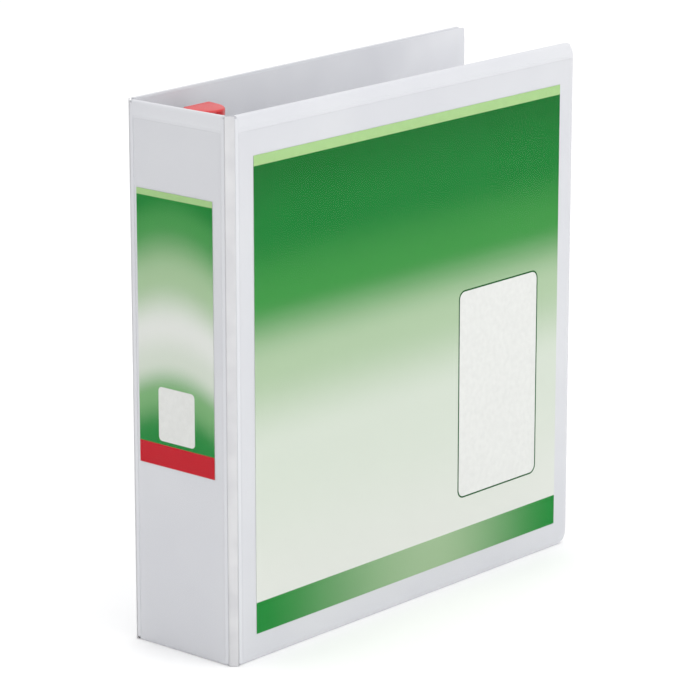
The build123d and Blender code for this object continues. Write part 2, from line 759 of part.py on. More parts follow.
# ==== finished pieces =============================================================================
upright_pieces = {
    "front_outer_film": front_outer_film,
    "front_board": front_board,
    "front_inner_liner": front_inner_liner,
    "front_overlay": front_overlay,
    "front_insert": front_insert,
    "front_inner_pocket": front_inner_pocket,
    "front_hinge_strip": front_hinge_strip,
    "spine_outer_film": spine_outer_film,
    "spine_board": spine_board,
    "spine_inner_liner": spine_inner_liner,
    "spine_overlay": spine_overlay,
    "spine_insert": spine_insert,
    "back_hinge_strip": back_hinge_strip,
}
back_pieces = {
    "back_outer_film": back_outer_film,
    "back_board": back_board,
    "back_inner_liner": back_inner_liner,
    "back_overlay": back_overlay,
    "back_inner_pocket": back_inner_pocket,
    "cover_rivets": cover_rivets,
    "mounting_posts": mounting_posts,
    "ring_housing": ring_housing,
    "top_lever": top_lever,
    "top_lever_pad": top_lever_pad,
    "top_pivot_pin": top_pivot_pin,
    "top_slide": top_slide,
    "bottom_lever": bottom_lever,
    "bottom_lever_pad": bottom_lever_pad,
    "bottom_pivot_pin": bottom_pivot_pin,
    "bottom_slide": bottom_slide,
}
for side, plate in hinge_plates.items():
    back_pieces[f"{side}_hinge_plate"] = plate
for level in level_names:
    back_pieces[f"{level}_ring_arc"] = arc_rings[level]
    back_pieces[f"{level}_ring_leg"] = leg_rings[level]

for name, piece in upright_pieces.items():
    save(piece.part, name)
for name, piece in back_pieces.items():
    save(piece.part, name, on_back=True)
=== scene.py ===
"""The looks of a three-ring binder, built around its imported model.

The binder stands closed on its bottom edges: +X from the spine to the fore-edge, +Y from the front
cover to the back cover, +Z up. Every size is in metres.
"""

import json
import logging
import math
from collections.abc import Callable
from dataclasses import dataclass, field
from enum import Enum

import bpy
from mathutils import Matrix, Vector

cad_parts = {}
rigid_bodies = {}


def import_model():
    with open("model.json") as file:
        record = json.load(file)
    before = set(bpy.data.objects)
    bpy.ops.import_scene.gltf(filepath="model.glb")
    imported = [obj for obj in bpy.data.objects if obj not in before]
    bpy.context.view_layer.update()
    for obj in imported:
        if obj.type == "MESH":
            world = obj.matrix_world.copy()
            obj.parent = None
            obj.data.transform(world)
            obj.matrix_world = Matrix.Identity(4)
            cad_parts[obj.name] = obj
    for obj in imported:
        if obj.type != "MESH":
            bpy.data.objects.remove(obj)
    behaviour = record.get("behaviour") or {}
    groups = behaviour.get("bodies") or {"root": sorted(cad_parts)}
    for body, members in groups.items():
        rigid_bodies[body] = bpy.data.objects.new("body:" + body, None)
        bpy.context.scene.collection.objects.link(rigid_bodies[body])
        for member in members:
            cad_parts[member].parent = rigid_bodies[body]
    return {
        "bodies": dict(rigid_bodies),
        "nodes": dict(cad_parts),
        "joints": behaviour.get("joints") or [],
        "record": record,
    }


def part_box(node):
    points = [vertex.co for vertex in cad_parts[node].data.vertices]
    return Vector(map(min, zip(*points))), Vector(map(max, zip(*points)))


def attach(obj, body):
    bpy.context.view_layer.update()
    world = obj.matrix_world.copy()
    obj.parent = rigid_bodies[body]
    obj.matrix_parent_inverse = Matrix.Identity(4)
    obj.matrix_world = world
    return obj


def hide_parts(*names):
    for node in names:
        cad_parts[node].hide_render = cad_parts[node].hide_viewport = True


log = logging.getLogger("ring_binder")
MM = 0.001
BARE_PAPER = "f6f6f3"  # the unprinted back of the sheets
PRINT_DIMMING = 0.8  # share of a printed colour's own lightness
STRIP_REACH = 1.3 * MM  # how much further the hinge strips' film reaches at each end
GRID = 6  # strips that a slab is cut into, each way
TINY = 1e-6  # how near two places are before they count as one
FACING = 0.99  # share of a face's normal that has to lie along an axis
MERGE = 0.002 * MM  # how near two points are before they are merged
SUPPORT_INSET = 0.4 * MM
WELD_CLEARANCE = 0.05 * MM  # between a lip and its hinge strip, and behind a pocket's roll
CORNER_STEPS = 10
ROLL_STEPS = 8
EDGE_STEPS = 3
BAND_SUNK = 1.2 * MM  # how deep the turned-over band sits in the film
BAND_ROLL = 3.2 * MM
BAND_FALL = 1.35 * MM

Point = tuple[float, float]
Area = tuple[float, float, float, float]


# ---- colours and nodes ---------------------------------------------------------------------------
def linear(hex_colour: str, alpha: float = 1.0) -> tuple[float, float, float, float]:
    """Turns an sRGB hex colour into linear light.

    Args:
        hex_colour: six hex digits, such as "d81e20".
        alpha: the colour's fourth channel.

    Returns:
        Red, green, blue and alpha.
    """
    parts = [int(hex_colour[i : i + 2], 16) / 255 for i in (0, 2, 4)]
    lit = [c / 12.92 if c <= 0.04045 else ((c + 0.055) / 1.055) ** 2.4 for c in parts]
    return (lit[0], lit[1], lit[2], alpha)


def printed(hex_colour: str) -> tuple[float, float, float, float]:
    """Turns a printed sRGB colour into linear light, dimmed as ink on paper is under bright lamps."""
    red, green, blue, alpha = linear(hex_colour)
    return (red * PRINT_DIMMING, green * PRINT_DIMMING, blue * PRINT_DIMMING, alpha)


def add_node(tree: bpy.types.NodeTree, kind: str, inputs: dict, **settings) -> bpy.types.Node:
    """Adds a node with its settings, values and links.

    Args:
        tree: the material's node tree.
        kind: the node's type name.
        inputs: values or output sockets, by the input's name or number.
        **settings: the node's own properties.

    Returns:
        The new node.
    """
    made = tree.nodes.new(kind)
    for key, value in settings.items():
        setattr(made, key, value)
    for key, value in inputs.items():
        if isinstance(value, bpy.types.NodeSocket):
            tree.links.new(value, made.inputs[key])
        else:
            made.inputs[key].default_value = value
    return made


def new_tree(name: str) -> tuple[bpy.types.Material, bpy.types.NodeTree, bpy.types.NodeSocket]:
    """Starts a material with an empty tree.

    Args:
        name: the material's name.

    Returns:
        The material, its tree and the Object coordinates.
    """
    material = bpy.data.materials.new(name)
    material.use_nodes = True
    material.node_tree.nodes.clear()
    place = add_node(material.node_tree, "ShaderNodeTexCoord", {}).outputs["Object"]
    return material, material.node_tree, place


# ---- finishes ------------------------------------------------------------------------------------
class Finish(Enum):
    """What each piece is made of."""

    WHITE_FILM = "white_polypropylene_film"
    STRIP_FILM = "creased_polypropylene_film"
    LINER_FILM = "embossed_polypropylene_liner"
    CHIPBOARD = "grey_chipboard"
    CLEAR_FILM = "clear_polypropylene_film"
    FROSTED_FILM = "frosted_polypropylene_film"
    NICKEL_WIRE = "nickel_plated_wire"
    NICKEL_SHEET = "nickel_plated_spring_steel"
    LEVER_STEEL = "pressed_lever_steel"
    GEL_RED = "red_gel_elastomer"


@dataclass(frozen=True)
class Surface:
    """One plain finish: a colour that drifts a little, a sheen and two scales of relief.

    Attributes:
        finish: which material it is.
        colour: sRGB hex of the surface.
        shade: sRGB hex that the colour drifts towards.
        roughness: middle roughness.
        metallic: 1 for metal.
        coat: strength of a clear coat.
        alpha: cover of a see-through film.
        grain: size of the fine relief.
        grain_depth: depth of the fine relief.
        wave: size of the slow relief.
        wave_depth: depth of the slow relief.
        stretch: how much longer the grain is along Z than across.
    """

    finish: Finish
    colour: str
    shade: str
    roughness: float
    metallic: float = 0.0
    coat: float = 0.0
    alpha: float = 1.0
    grain: float = 0.6 * MM
    grain_depth: float = 0.01 * MM
    wave: float = 40 * MM
    wave_depth: float = 0.1 * MM
    stretch: float = 1.0

    def material(self) -> bpy.types.Material:
        """Builds the material.

        Returns:
            The new material.
        """
        material, tree, place = new_tree(self.finish.value)
        long_grain = add_node(
            tree, "ShaderNodeMapping", {"Vector": place, "Scale": (1.0, 1.0, 1 / self.stretch)}
        ).outputs[0]
        fine = add_node(
            tree,
            "ShaderNodeTexNoise",
            {"Vector": long_grain, "Scale": 1 / self.grain, "Detail": 2.0},
        ).outputs["Fac"]
        slow = add_node(
            tree, "ShaderNodeTexNoise", {"Vector": place, "Scale": 1 / self.wave, "Detail": 1.5}
        ).outputs["Fac"]
        waves = add_node(
            tree, "ShaderNodeBump", {"Height": slow, "Strength": 1.0, "Distance": self.wave_depth}
        ).outputs[0]
        relief = add_node(
            tree,
            "ShaderNodeBump",
            {"Height": fine, "Strength": 1.0, "Distance": self.grain_depth, "Normal": waves},
        ).outputs[0]
        drift = add_node(
            tree,
            "ShaderNodeMapRange",
            {"Value": slow, "From Min": 0.35, "From Max": 0.65, "To Min": 0.0, "To Max": 1.0},
        ).outputs[0]
        tone = add_node(
            tree,
            "ShaderNodeMix",
            {"Factor": drift, "A": linear(self.colour), "B": linear(self.shade)},
            data_type="RGBA",
        )
        sheen = add_node(
            tree,
            "ShaderNodeMapRange",
            {
                "Value": fine,
                "From Min": 0.3,
                "From Max": 0.7,
                "To Min": self.roughness * 0.85,
                "To Max": min(1.0, self.roughness * 1.15),
            },
        ).outputs[0]
        shader = add_node(
            tree,
            "ShaderNodeBsdfPrincipled",
            {
                "Base Color": tone.outputs["Result"],
                "Roughness": sheen,
                "Metallic": self.metallic,
                "Coat Weight": self.coat,
                "Coat Roughness": 0.12,
                "Alpha": self.alpha,
                "Normal": relief,
            },
        )
        add_node(tree, "ShaderNodeOutputMaterial", {"Surface": shader.outputs[0]})
        return material


# Polypropylene film, calendered smooth over the board: a white satin skin with a slow ripple.
WHITE_FILM = Surface(Finish.WHITE_FILM, "d2d3d7", "cecfd4", 0.42, wave=55 * MM, wave_depth=0.10 * MM)
# The same film where it is pressed thin between two creases, a little greyer.
STRIP_FILM = Surface(
    Finish.STRIP_FILM, "d3d3d5", "c9c9cc", 0.38, wave=14 * MM, wave_depth=0.06 * MM, stretch=6.0
)
# Liner film with a fine embossed grain that breaks up its gloss.
LINER_FILM = Surface(
    Finish.LINER_FILM, "dcdde1", "d3d4d9", 0.5, grain=0.7 * MM, grain_depth=0.02 * MM, wave_depth=0.12 * MM
)
# Recycled grey board with short fibres.
CHIPBOARD = Surface(Finish.CHIPBOARD, "8f867a", "7c7468", 0.9, grain=0.9 * MM, grain_depth=0.05 * MM)
# Cast clear film over the pockets: it barely tints what lies under it and carries a soft gloss.
CLEAR_FILM = Surface(
    Finish.CLEAR_FILM, "6f7476", "666b6d", 0.2, alpha=0.02, wave=60 * MM, wave_depth=0.12 * MM
)
# Inner pockets of embossed film, hazier than the outside ones.
FROSTED_FILM = Surface(
    Finish.FROSTED_FILM, "f4f6f7", "e6e9eb", 0.34, alpha=0.24, grain=0.8 * MM, grain_depth=0.02 * MM
)
# Drawn wire, barrel nickel plated: bright, with faint marks along its length.
NICKEL_WIRE = Surface(
    Finish.NICKEL_WIRE, "d3d4d2", "c4c5c4", 0.14, metallic=1.0, grain=0.5 * MM, grain_depth=0.004 * MM
)
# Rolled spring steel under nickel, with the rolling direction along the binder's height.
NICKEL_SHEET = Surface(
    Finish.NICKEL_SHEET,
    "cccdcc",
    "bcbebf",
    0.2,
    metallic=1.0,
    grain=0.25 * MM,
    grain_depth=0.003 * MM,
    stretch=30.0,
)
# Pressed and tumbled steel, duller than the plated sheet.
LEVER_STEEL = Surface(
    Finish.LEVER_STEEL, "a9abad", "95989b", 0.3, metallic=1.0, grain=0.4 * MM, grain_depth=0.006 * MM
)
# Soft moulded gel over the lever: saturated red, slightly translucent and satin.
GEL_RED = Surface(
    Finish.GEL_RED, "d9191f", "c9141b", 0.36, coat=0.25, grain=0.5 * MM, grain_depth=0.01 * MM
)


# The film lies on the paper like a varnish, so the paper has hardly any sheen of its own.
UNDER_FILM_SHEEN = 0.06


@dataclass(frozen=True)
class Stop:
    """A colour at a share of the way down a printed sheet."""

    share: float
    colour: str


@dataclass(frozen=True)
class PrintedSheet:
    """Coated paper with a printed wash that runs down the sheet and fades in its middle.

    Attributes:
        name: the material's name.
        stops: colours from the top edge to the bottom edge.
        top: height of the sheet's top edge.
        bottom: height of its bottom edge.
        centre: middle of the pale glow across the sheet.
        across: which coordinate runs across the sheet, "X" or "Y".
        half_width: half the sheet's width.
        through: which coordinate runs through the sheet, from its printed face to its back.
        core: that coordinate halfway through the sheet.
        glow: share by which the wash rises in the middle.
    """

    name: str
    stops: tuple[Stop, ...]
    top: float
    bottom: float
    centre: float
    across: str
    half_width: float
    through: str
    core: float
    glow: float = 0.0

    def material(self) -> bpy.types.Material:
        """Builds the material.

        Returns:
            The new material.
        """
        material, tree, place = new_tree(self.name)
        split = add_node(tree, "ShaderNodeSeparateXYZ", {"Vector": place}).outputs
        down = add_node(
            tree,
            "ShaderNodeMapRange",
            {"Value": split["Z"], "From Min": self.top, "From Max": self.bottom},
        ).outputs[0]
        off_centre = add_node(
            tree,
            "ShaderNodeMapRange",
            {
                "Value": split[self.across],
                "From Min": self.centre - self.half_width,
                "From Max": self.centre + self.half_width,
                "To Min": -1.0,
                "To Max": 1.0,
            },
        ).outputs[0]
        square = add_node(
            tree, "ShaderNodeMath", {0: off_centre, 1: off_centre}, operation="MULTIPLY"
        ).outputs[0]
        sink = add_node(
            tree, "ShaderNodeMath", {0: square, 1: self.glow}, operation="MULTIPLY"
        ).outputs[0]
        share = add_node(tree, "ShaderNodeMath", {0: down, 1: sink}, operation="SUBTRACT").outputs[0]
        wash = add_node(tree, "ShaderNodeValToRGB", {"Fac": share})
        ramp = wash.color_ramp
        ramp.interpolation = "EASE"
        while len(ramp.elements) < len(self.stops):
            ramp.elements.new(0.5)
        for element, stop in zip(ramp.elements, self.stops):
            element.position = stop.share
            element.color = printed(stop.colour)
        behind = add_node(
            tree, "ShaderNodeMath", {0: split[self.through], 1: self.core}, operation="GREATER_THAN"
        ).outputs[0]
        sides = add_node(
            tree,
            "ShaderNodeMix",
            {"Factor": behind, "A": wash.outputs["Color"], "B": printed(BARE_PAPER)},
            data_type="RGBA",
        )
        fibre = add_node(
            tree, "ShaderNodeTexNoise", {"Vector": place, "Scale": 1 / (0.35 * MM), "Detail": 2.0}
        ).outputs["Fac"]
        relief = add_node(
            tree, "ShaderNodeBump", {"Height": fibre, "Strength": 1.0, "Distance": 0.006 * MM}
        ).outputs[0]
        shader = add_node(
            tree,
            "ShaderNodeBsdfPrincipled",
            {
                "Base Color": sides.outputs["Result"],
                "Roughness": 0.5,
                "Specular IOR Level": UNDER_FILM_SHEEN,
                "Normal": relief,
            },
        )
        add_node(tree, "ShaderNodeOutputMaterial", {"Surface": shader.outputs[0]})
        return material


@dataclass(frozen=True)
class FadingInk:
    """Ink laid solid at both ends of a band and thinner in its middle.

    Attributes:
        name: the material's name.
        colour: sRGB hex at the ends.
        middle: sRGB hex in the middle.
        span: X of both ends.
        centre: X of the palest place.
    """

    name: str
    colour: str
    middle: str
    span: Point
    centre: float

    def material(self) -> bpy.types.Material:
        """Builds the material.

        Returns:
            The new material.
        """
        material, tree, place = new_tree(self.name)
        across = add_node(tree, "ShaderNodeSeparateXYZ", {"Vector": place}).outputs["X"]
        share = add_node(
            tree,
            "ShaderNodeMapRange",
            {"Value": across, "From Min": self.span[0], "From Max": self.span[1]},
        ).outputs[0]
        wash = add_node(tree, "ShaderNodeValToRGB", {"Fac": share})
        wash.color_ramp.interpolation = "EASE"
        wash.color_ramp.elements.new(0.5)
        middle = (self.centre - self.span[0]) / (self.span[1] - self.span[0])
        stops = ((0.0, self.colour), (middle, self.middle), (1.0, self.colour))
        for element, (at, colour) in zip(wash.color_ramp.elements, stops):
            element.position = at
            element.color = printed(colour)
        shader = add_node(
            tree,
            "ShaderNodeBsdfPrincipled",
            {
                "Base Color": wash.outputs["Color"],
                "Roughness": 0.45,
                "Specular IOR Level": UNDER_FILM_SHEEN,
            },
        )
        add_node(tree, "ShaderNodeOutputMaterial", {"Surface": shader.outputs[0]})
        return material


@dataclass(frozen=True)
class Ink:
    """Flat offset-litho ink on the coated paper, with the paper's faint mottle."""

    name: str
    colour: str

    def material(self) -> bpy.types.Material:
        """Builds the material.

        Returns:
            The new material.
        """
        material, tree, place = new_tree(self.name)
        mottle = add_node(
            tree, "ShaderNodeTexNoise", {"Vector": place, "Scale": 1 / (3 * MM), "Detail": 3.0}
        ).outputs["Fac"]
        tone = add_node(
            tree,
            "ShaderNodeHueSaturation",
            {
                "Color": printed(self.colour),
                "Value": add_node(
                    tree,
                    "ShaderNodeMapRange",
                    {"Value": mottle, "From Min": 0.3, "From Max": 0.7, "To Min": 0.97, "To Max": 1.03},
                ).outputs[0],
            },
        ).outputs[0]
        shader = add_node(
            tree,
            "ShaderNodeBsdfPrincipled",
            {"Base Color": tone, "Roughness": 0.45, "Specular IOR Level": UNDER_FILM_SHEEN},
        )
        add_node(tree, "ShaderNodeOutputMaterial", {"Surface": shader.outputs[0]})
        return material


# ---- modelling helpers ---------------------------------------------------------------------------
def deselect() -> None:
    """Leaves object mode with nothing selected."""
    if bpy.context.object is not None and bpy.context.object.mode != "OBJECT":
        bpy.ops.object.mode_set(mode="OBJECT")
    bpy.ops.object.select_all(action="DESELECT")


def activate(piece: bpy.types.Object) -> None:
    """Makes one object the only selected and the active one."""
    deselect()
    piece.select_set(True)
    bpy.context.view_layer.objects.active = piece


def settle(piece: bpy.types.Object, name: str) -> bpy.types.Object:
    """Puts a piece's place into its mesh and names it.

    Args:
        piece: the object.
        name: its name.

    Returns:
        The same object, at the origin, unturned and unscaled.
    """
    activate(piece)
    bpy.ops.object.transform_apply(location=True, rotation=True, scale=True)
    piece.name = name
    piece.data.name = name
    return piece


def smooth(piece: bpy.types.Object, angle: float = 35.0) -> None:
    """Shades a piece smooth below an angle in degrees."""
    activate(piece)
    bpy.ops.object.shade_smooth_by_angle(angle=math.radians(angle))


def dress(piece: bpy.types.Object, material: bpy.types.Material) -> None:
    """Gives a whole piece one material."""
    piece.data.materials.clear()
    piece.data.materials.append(material)


def pick_edges(piece: bpy.types.Object, wanted: Callable[[Vector, Vector], bool]) -> None:
    """Selects, in edit mode, the edges whose two ends pass a test.

    Args:
        piece: the object in edit mode.
        wanted: a test of the edge's two end points.
    """
    bpy.ops.mesh.select_mode(type="EDGE")
    bpy.ops.mesh.select_all(action="DESELECT")
    bpy.ops.object.mode_set(mode="OBJECT")
    points = piece.data.vertices
    for edge in piece.data.edges:
        a, b = (points[i].co for i in edge.vertices)
        edge.select = wanted(a, b)
    bpy.ops.object.mode_set(mode="EDIT")


def block(low: Vector, high: Vector) -> bpy.types.Object:
    """Adds a cube that fills a box, with its place in its mesh.

    Args:
        low: the box's lowest corner.
        high: its highest corner.

    Returns:
        The new object.
    """
    deselect()
    bpy.ops.mesh.primitive_cube_add(size=1.0, location=(low + high) / 2)
    made = bpy.context.object
    made.scale = high - low
    bpy.ops.object.transform_apply(location=True, rotation=True, scale=True)
    return made


def support_loop(piece: bpy.types.Object, level: float) -> None:
    """Insets the big faces at one Y, so that their shading stays flat up to the rolled edge.

    Args:
        piece: the object in edit mode.
        level: Y of the faces.
    """
    bpy.ops.mesh.select_mode(type="FACE")
    bpy.ops.mesh.select_all(action="DESELECT")
    bpy.ops.object.mode_set(mode="OBJECT")
    for face in piece.data.polygons:
        face.select = abs(face.center.y - level) < TINY and abs(face.normal.y) > FACING
    bpy.ops.object.mode_set(mode="EDIT")
    bpy.ops.mesh.inset(thickness=SUPPORT_INSET, depth=0.0)
    bpy.ops.mesh.select_mode(type="EDGE")


@dataclass
class SoftSlab:
    """A flat slab parallel to XZ whose front edges roll over softly.

    Attributes:
        low: lowest corner.
        high: highest corner.
        corner_far: corner radius at high X.
        corner_near: corner radius at low X.
        roll: width of the rolled edge.
        depth: how far the rolled edge falls away.
        back_edge: small rounding of the edges behind.
        open_top: leaves the top edge without a roll.
    """

    low: Vector
    high: Vector
    corner_far: float
    corner_near: float
    roll: float
    depth: float
    back_edge: float = 0.0
    open_top: bool = False

    def cut_grid(self) -> None:
        """Cuts the slab, in edit mode, into a grid across X and Z."""
        size = self.high - self.low
        for step in range(1, GRID):
            for axis in ("x", "z"):
                place = Vector((0, 0, 0))
                setattr(place, axis, getattr(self.low, axis) + getattr(size, axis) * step / GRID)
                normal = Vector((axis == "x", 0, axis == "z"))
                bpy.ops.mesh.select_all(action="SELECT")
                bpy.ops.mesh.bisect(plane_co=place, plane_no=normal)

    def build(self, name: str) -> bpy.types.Object:
        """Models the slab, front face at low Y.

        Args:
            name: the piece's name.

        Returns:
            The finished mesh object.
        """
        # the slab is modelled deeper by this share, so a round bevel becomes a flat oval one
        stretch = self.roll / self.depth
        thick = self.high.y - self.low.y
        far = Vector((self.high.x, self.low.y + thick * stretch, self.high.z))
        piece = block(self.low, far)
        activate(piece)
        bpy.ops.object.mode_set(mode="EDIT")
        for radius, side in ((self.corner_far, self.high.x), (self.corner_near, self.low.x)):
            if radius <= 0:
                continue
            keep_square = self.high.z if self.open_top else math.inf

            def corner_edge(
                a: Vector, b: Vector, side: float = side, keep_square: float = keep_square
            ) -> bool:
                """Tells whether an edge runs through the slab at this side's corners."""
                through = abs(a.y - b.y) > TINY and abs(a.x - b.x) < TINY and abs(a.z - b.z) < TINY
                return through and abs(a.x - side) < TINY and abs(a.z - keep_square) > TINY

            pick_edges(piece, corner_edge)
            bpy.ops.mesh.bevel(offset=radius, segments=CORNER_STEPS, affect="EDGES")
        front, top = self.low.y, self.high.z

        def front_edge(a: Vector, b: Vector) -> bool:
            """Tells whether an edge is on the front face's outline."""
            on_front = abs(a.y - front) < TINY and abs(b.y - front) < TINY
            at_top = abs(a.z - top) < TINY and abs(b.z - top) < TINY
            return on_front and not (self.open_top and at_top)

        pick_edges(piece, front_edge)
        bpy.ops.mesh.bevel(offset=self.roll, segments=ROLL_STEPS, affect="EDGES")
        bpy.ops.mesh.select_all(action="SELECT")
        bpy.ops.transform.resize(
            value=(1.0, 1 / stretch, 1.0), center_override=(0.0, self.low.y, 0.0)
        )
        support_loop(piece, self.low.y)
        self.cut_grid()
        if self.back_edge > 0:
            behind = self.high.y
            pick_edges(
                piece, lambda a, b: abs(a.y - behind) < TINY and abs(b.y - behind) < TINY
            )
            bpy.ops.mesh.bevel(offset=self.back_edge, segments=EDGE_STEPS, affect="EDGES")
        bpy.ops.object.mode_set(mode="OBJECT")
        settle(piece, name)
        return piece


def round_strip(node: str, material: bpy.types.Material) -> None:
    """Models a hinge strip up to the covers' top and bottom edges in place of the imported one.

    Args:
        node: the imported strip, which is also its body.
        material: its finish.
    """
    strip = copy_of(FRAME["nodes"][node], f"{node}_film", Matrix.Identity(4))
    middle = (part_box(node)[0].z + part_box(node)[1].z) / 2
    reach = (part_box(node)[1].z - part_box(node)[0].z) / 2
    longer = (reach + STRIP_REACH) / reach
    activate(strip)
    bpy.ops.object.mode_set(mode="EDIT")
    bpy.ops.mesh.select_all(action="SELECT")
    bpy.ops.mesh.remove_doubles(threshold=MERGE)
    bpy.ops.transform.resize(value=(1.0, 1.0, longer), center_override=(0.0, 0.0, middle))
    bpy.ops.object.mode_set(mode="OBJECT")
    smooth(strip)
    dress(strip, material)
    finish_piece(strip, node, "outer_film", node)


def turned_over_band(start: Vector, end: Vector, proud: float, nose: float) -> bpy.types.Object:
    """Adds the soft roll where the film turns over the board's top edge.

    Args:
        start: its near lower corner, on the film's face.
        end: its far upper corner there.
        proud: how far it stands out of the film's face.
        nose: corner radius at its far end.

    Returns:
        The roll, partly sunk in the film.
    """
    low = Vector((start.x, start.y - proud, start.z))
    high = Vector((end.x, start.y + BAND_SUNK, end.z))
    return SoftSlab(low, high, nose, 0.0, BAND_ROLL, BAND_FALL).build("turned_over_band")


def join(pieces: list[bpy.types.Object], name: str) -> bpy.types.Object:
    """Joins objects into the first one.

    Args:
        pieces: the objects.
        name: the joined piece's name.

    Returns:
        The joined piece.
    """
    if len(pieces) == 1:
        return settle(pieces[0], name)
    deselect()
    for piece in pieces:
        piece.select_set(True)
    bpy.context.view_layer.objects.active = pieces[0]
    bpy.ops.object.join()
    return settle(pieces[0], name)


def hollow_sheet(piece: bpy.types.Object, back: float, thickness: float, top: float) -> None:
    """Opens a slab's back and top, and gives what is left a film's thickness.

    Args:
        piece: the slab.
        back: Y of its back face.
        thickness: the film's thickness.
        top: Z of its open top.
    """
    activate(piece)
    bpy.ops.object.mode_set(mode="EDIT")
    bpy.ops.mesh.select_mode(type="FACE")
    bpy.ops.mesh.select_all(action="DESELECT")
    bpy.ops.object.mode_set(mode="OBJECT")
    for face in piece.data.polygons:
        behind = abs(face.center.y - back) < TINY and abs(face.normal.y) > FACING
        above = abs(face.center.z - top) < TINY and face.normal.z > FACING
        face.select = behind or above
    bpy.ops.object.mode_set(mode="EDIT")
    bpy.ops.mesh.delete(type="FACE")
    bpy.ops.mesh.select_mode(type="EDGE")
    bpy.ops.object.mode_set(mode="OBJECT")
    wall = piece.modifiers.new("film", "SOLIDIFY")
    wall.thickness = thickness
    wall.offset = -1.0
    bpy.ops.object.modifier_apply(modifier=wall.name)


def copy_of(piece: bpy.types.Object, name: str, matrix: Matrix) -> bpy.types.Object:
    """Copies a piece with its own mesh, moved by a matrix.

    Args:
        piece: the object to copy.
        name: the copy's name.
        matrix: what moves the mesh; one that mirrors has its normals recalculated.

    Returns:
        The copy.
    """
    made = piece.copy()
    made.data = piece.data.copy()
    made.name = made.data.name = name
    for key in list(made.keys()):
        del made[key]
    made.parent = None
    bpy.context.scene.collection.objects.link(made)
    made.data.transform(matrix)
    if matrix.determinant() < 0:
        made.data.flip_normals()
    return made


# ---- the binder's measures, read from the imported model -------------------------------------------
@dataclass
class Measures:
    """Places that the pieces share.

    Attributes:
        rim: welded film round each board.
        strip: thickness of a hinge strip.
        bottom_gap: hinge strip's end above the cover's bottom edge.
    """

    rim: float = 2.0 * MM
    strip: float = 0.9 * MM
    bottom_gap: float = 1.5 * MM
    crease: Vector = field(init=False)
    spine_crease: Vector = field(init=False)
    middle_y: float = field(init=False)
    lean: float = field(init=False)
    joints: dict = field(init=False)

    def read(self, frame: dict) -> None:
        """Reads the creases and the back cover's lean from the frame.
        """
        low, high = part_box("front_hinge_strip")
        half = self.strip / 2
        self.crease = Vector((high.x - half, low.y + half, 0.0))
        self.spine_crease = Vector((low.x + half, high.y - half, 0.0))
        low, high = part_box("spine_outer_film")
        self.middle_y = (low.y + high.y) / 2
        self.joints = {joint["name"]: joint for joint in frame["joints"]}
        axis = self.joints["top_lever_pivot"]["axis"]
        self.lean = math.atan2(-axis[1], -axis[0])

    def to_back(self) -> Matrix:
        """Returns what turns a front cover's piece into the back cover's."""
        mirror = Matrix.Translation((0, 2 * self.middle_y, 0)) @ Matrix.Scale(-1, 4, (0, 1, 0))
        hinge = Vector((self.crease.x, 2 * self.middle_y - self.crease.y, 0))
        turn = Matrix.Rotation(self.lean, 4, "Z")
        return Matrix.Translation(hinge) @ turn @ Matrix.Translation(-hinge) @ mirror


# ---- film shared by the covers and the spine ------------------------------------------------------
@dataclass(frozen=True)
class FilmSizes:
    """Sizes of the white film and of the clear pockets.

    Attributes:
        roll: width of the white film's rolled edge.
        roll_depth: fall of that edge.
        back_edge: rounding of its edges behind.
        lip_edge: rounding of the thin lips at the creases.
        pocket_film: thickness of the clear film.
        pocket_corner: corner radius of a clear pocket.
        pocket_roll: width of its rolled edge.
        bead: radius of its hemmed mouth.
        mouth_gap: from its mouth to the band above it.
        band_proud: how far that band stands out.
    """

    roll: float = 3.0 * MM
    roll_depth: float = 1.35 * MM
    back_edge: float = 0.3 * MM
    lip_edge: float = 0.3 * MM
    pocket_film: float = 0.22 * MM
    pocket_corner: float = 2.6 * MM
    pocket_roll: float = 2.2 * MM
    bead: float = 0.3 * MM
    mouth_gap: float = 0.55 * MM
    band_proud: float = 0.4 * MM


SIZES = FilmSizes()


def crease_lip(low: Vector, high: Vector) -> bpy.types.Object:
    """Models the thin welded lip beside a crease.

    Args:
        low: its lowest corner.
        high: its highest corner.

    Returns:
        The lip.
    """
    lip = block(low, high)
    activate(lip)
    bpy.ops.object.mode_set(mode="EDIT")
    bpy.ops.mesh.select_all(action="SELECT")
    bpy.ops.mesh.bevel(offset=SIZES.lip_edge, segments=EDGE_STEPS, affect="EDGES")
    bpy.ops.object.mode_set(mode="OBJECT")
    return lip


def pocket_hem(start: Vector, end: Vector, radius: float) -> bpy.types.Object:
    """Adds the rounded bead along a clear pocket's mouth.

    Args:
        start: one end of its middle line.
        end: the other end.
        radius: the bead's radius.

    Returns:
        The bead.
    """
    deselect()
    along = end - start
    bpy.ops.mesh.primitive_cylinder_add(
        radius=radius,
        depth=along.length,
        vertices=12,
        location=(start + end) / 2,
        rotation=along.to_track_quat("Z", "Y").to_euler(),
    )
    bead = bpy.context.object
    return settle(bead, "hem")


def clear_pocket(low: Vector, high: Vector, corner_far: float, name: str) -> bpy.types.Object:
    """Models a clear pocket: welded on three sides and hemmed at its mouth.

    Args:
        low: its lowest corner.
        high: its highest corner.
        corner_far: corner radius at high X.
        name: its name.

    Returns:
        The pocket.
    """
    depth = high.y - low.y - WELD_CLEARANCE
    sheet = SoftSlab(
        low, high, corner_far, SIZES.pocket_corner, SIZES.pocket_roll, depth, open_top=True
    ).build(name)
    hollow_sheet(sheet, high.y, SIZES.pocket_film, high.z)
    hem = pocket_hem(
        Vector((low.x + SIZES.pocket_roll, low.y + SIZES.bead, high.z)),
        Vector((high.x - SIZES.pocket_roll, low.y + SIZES.bead, high.z)),
        SIZES.bead,
    )
    return join([sheet, hem], name)


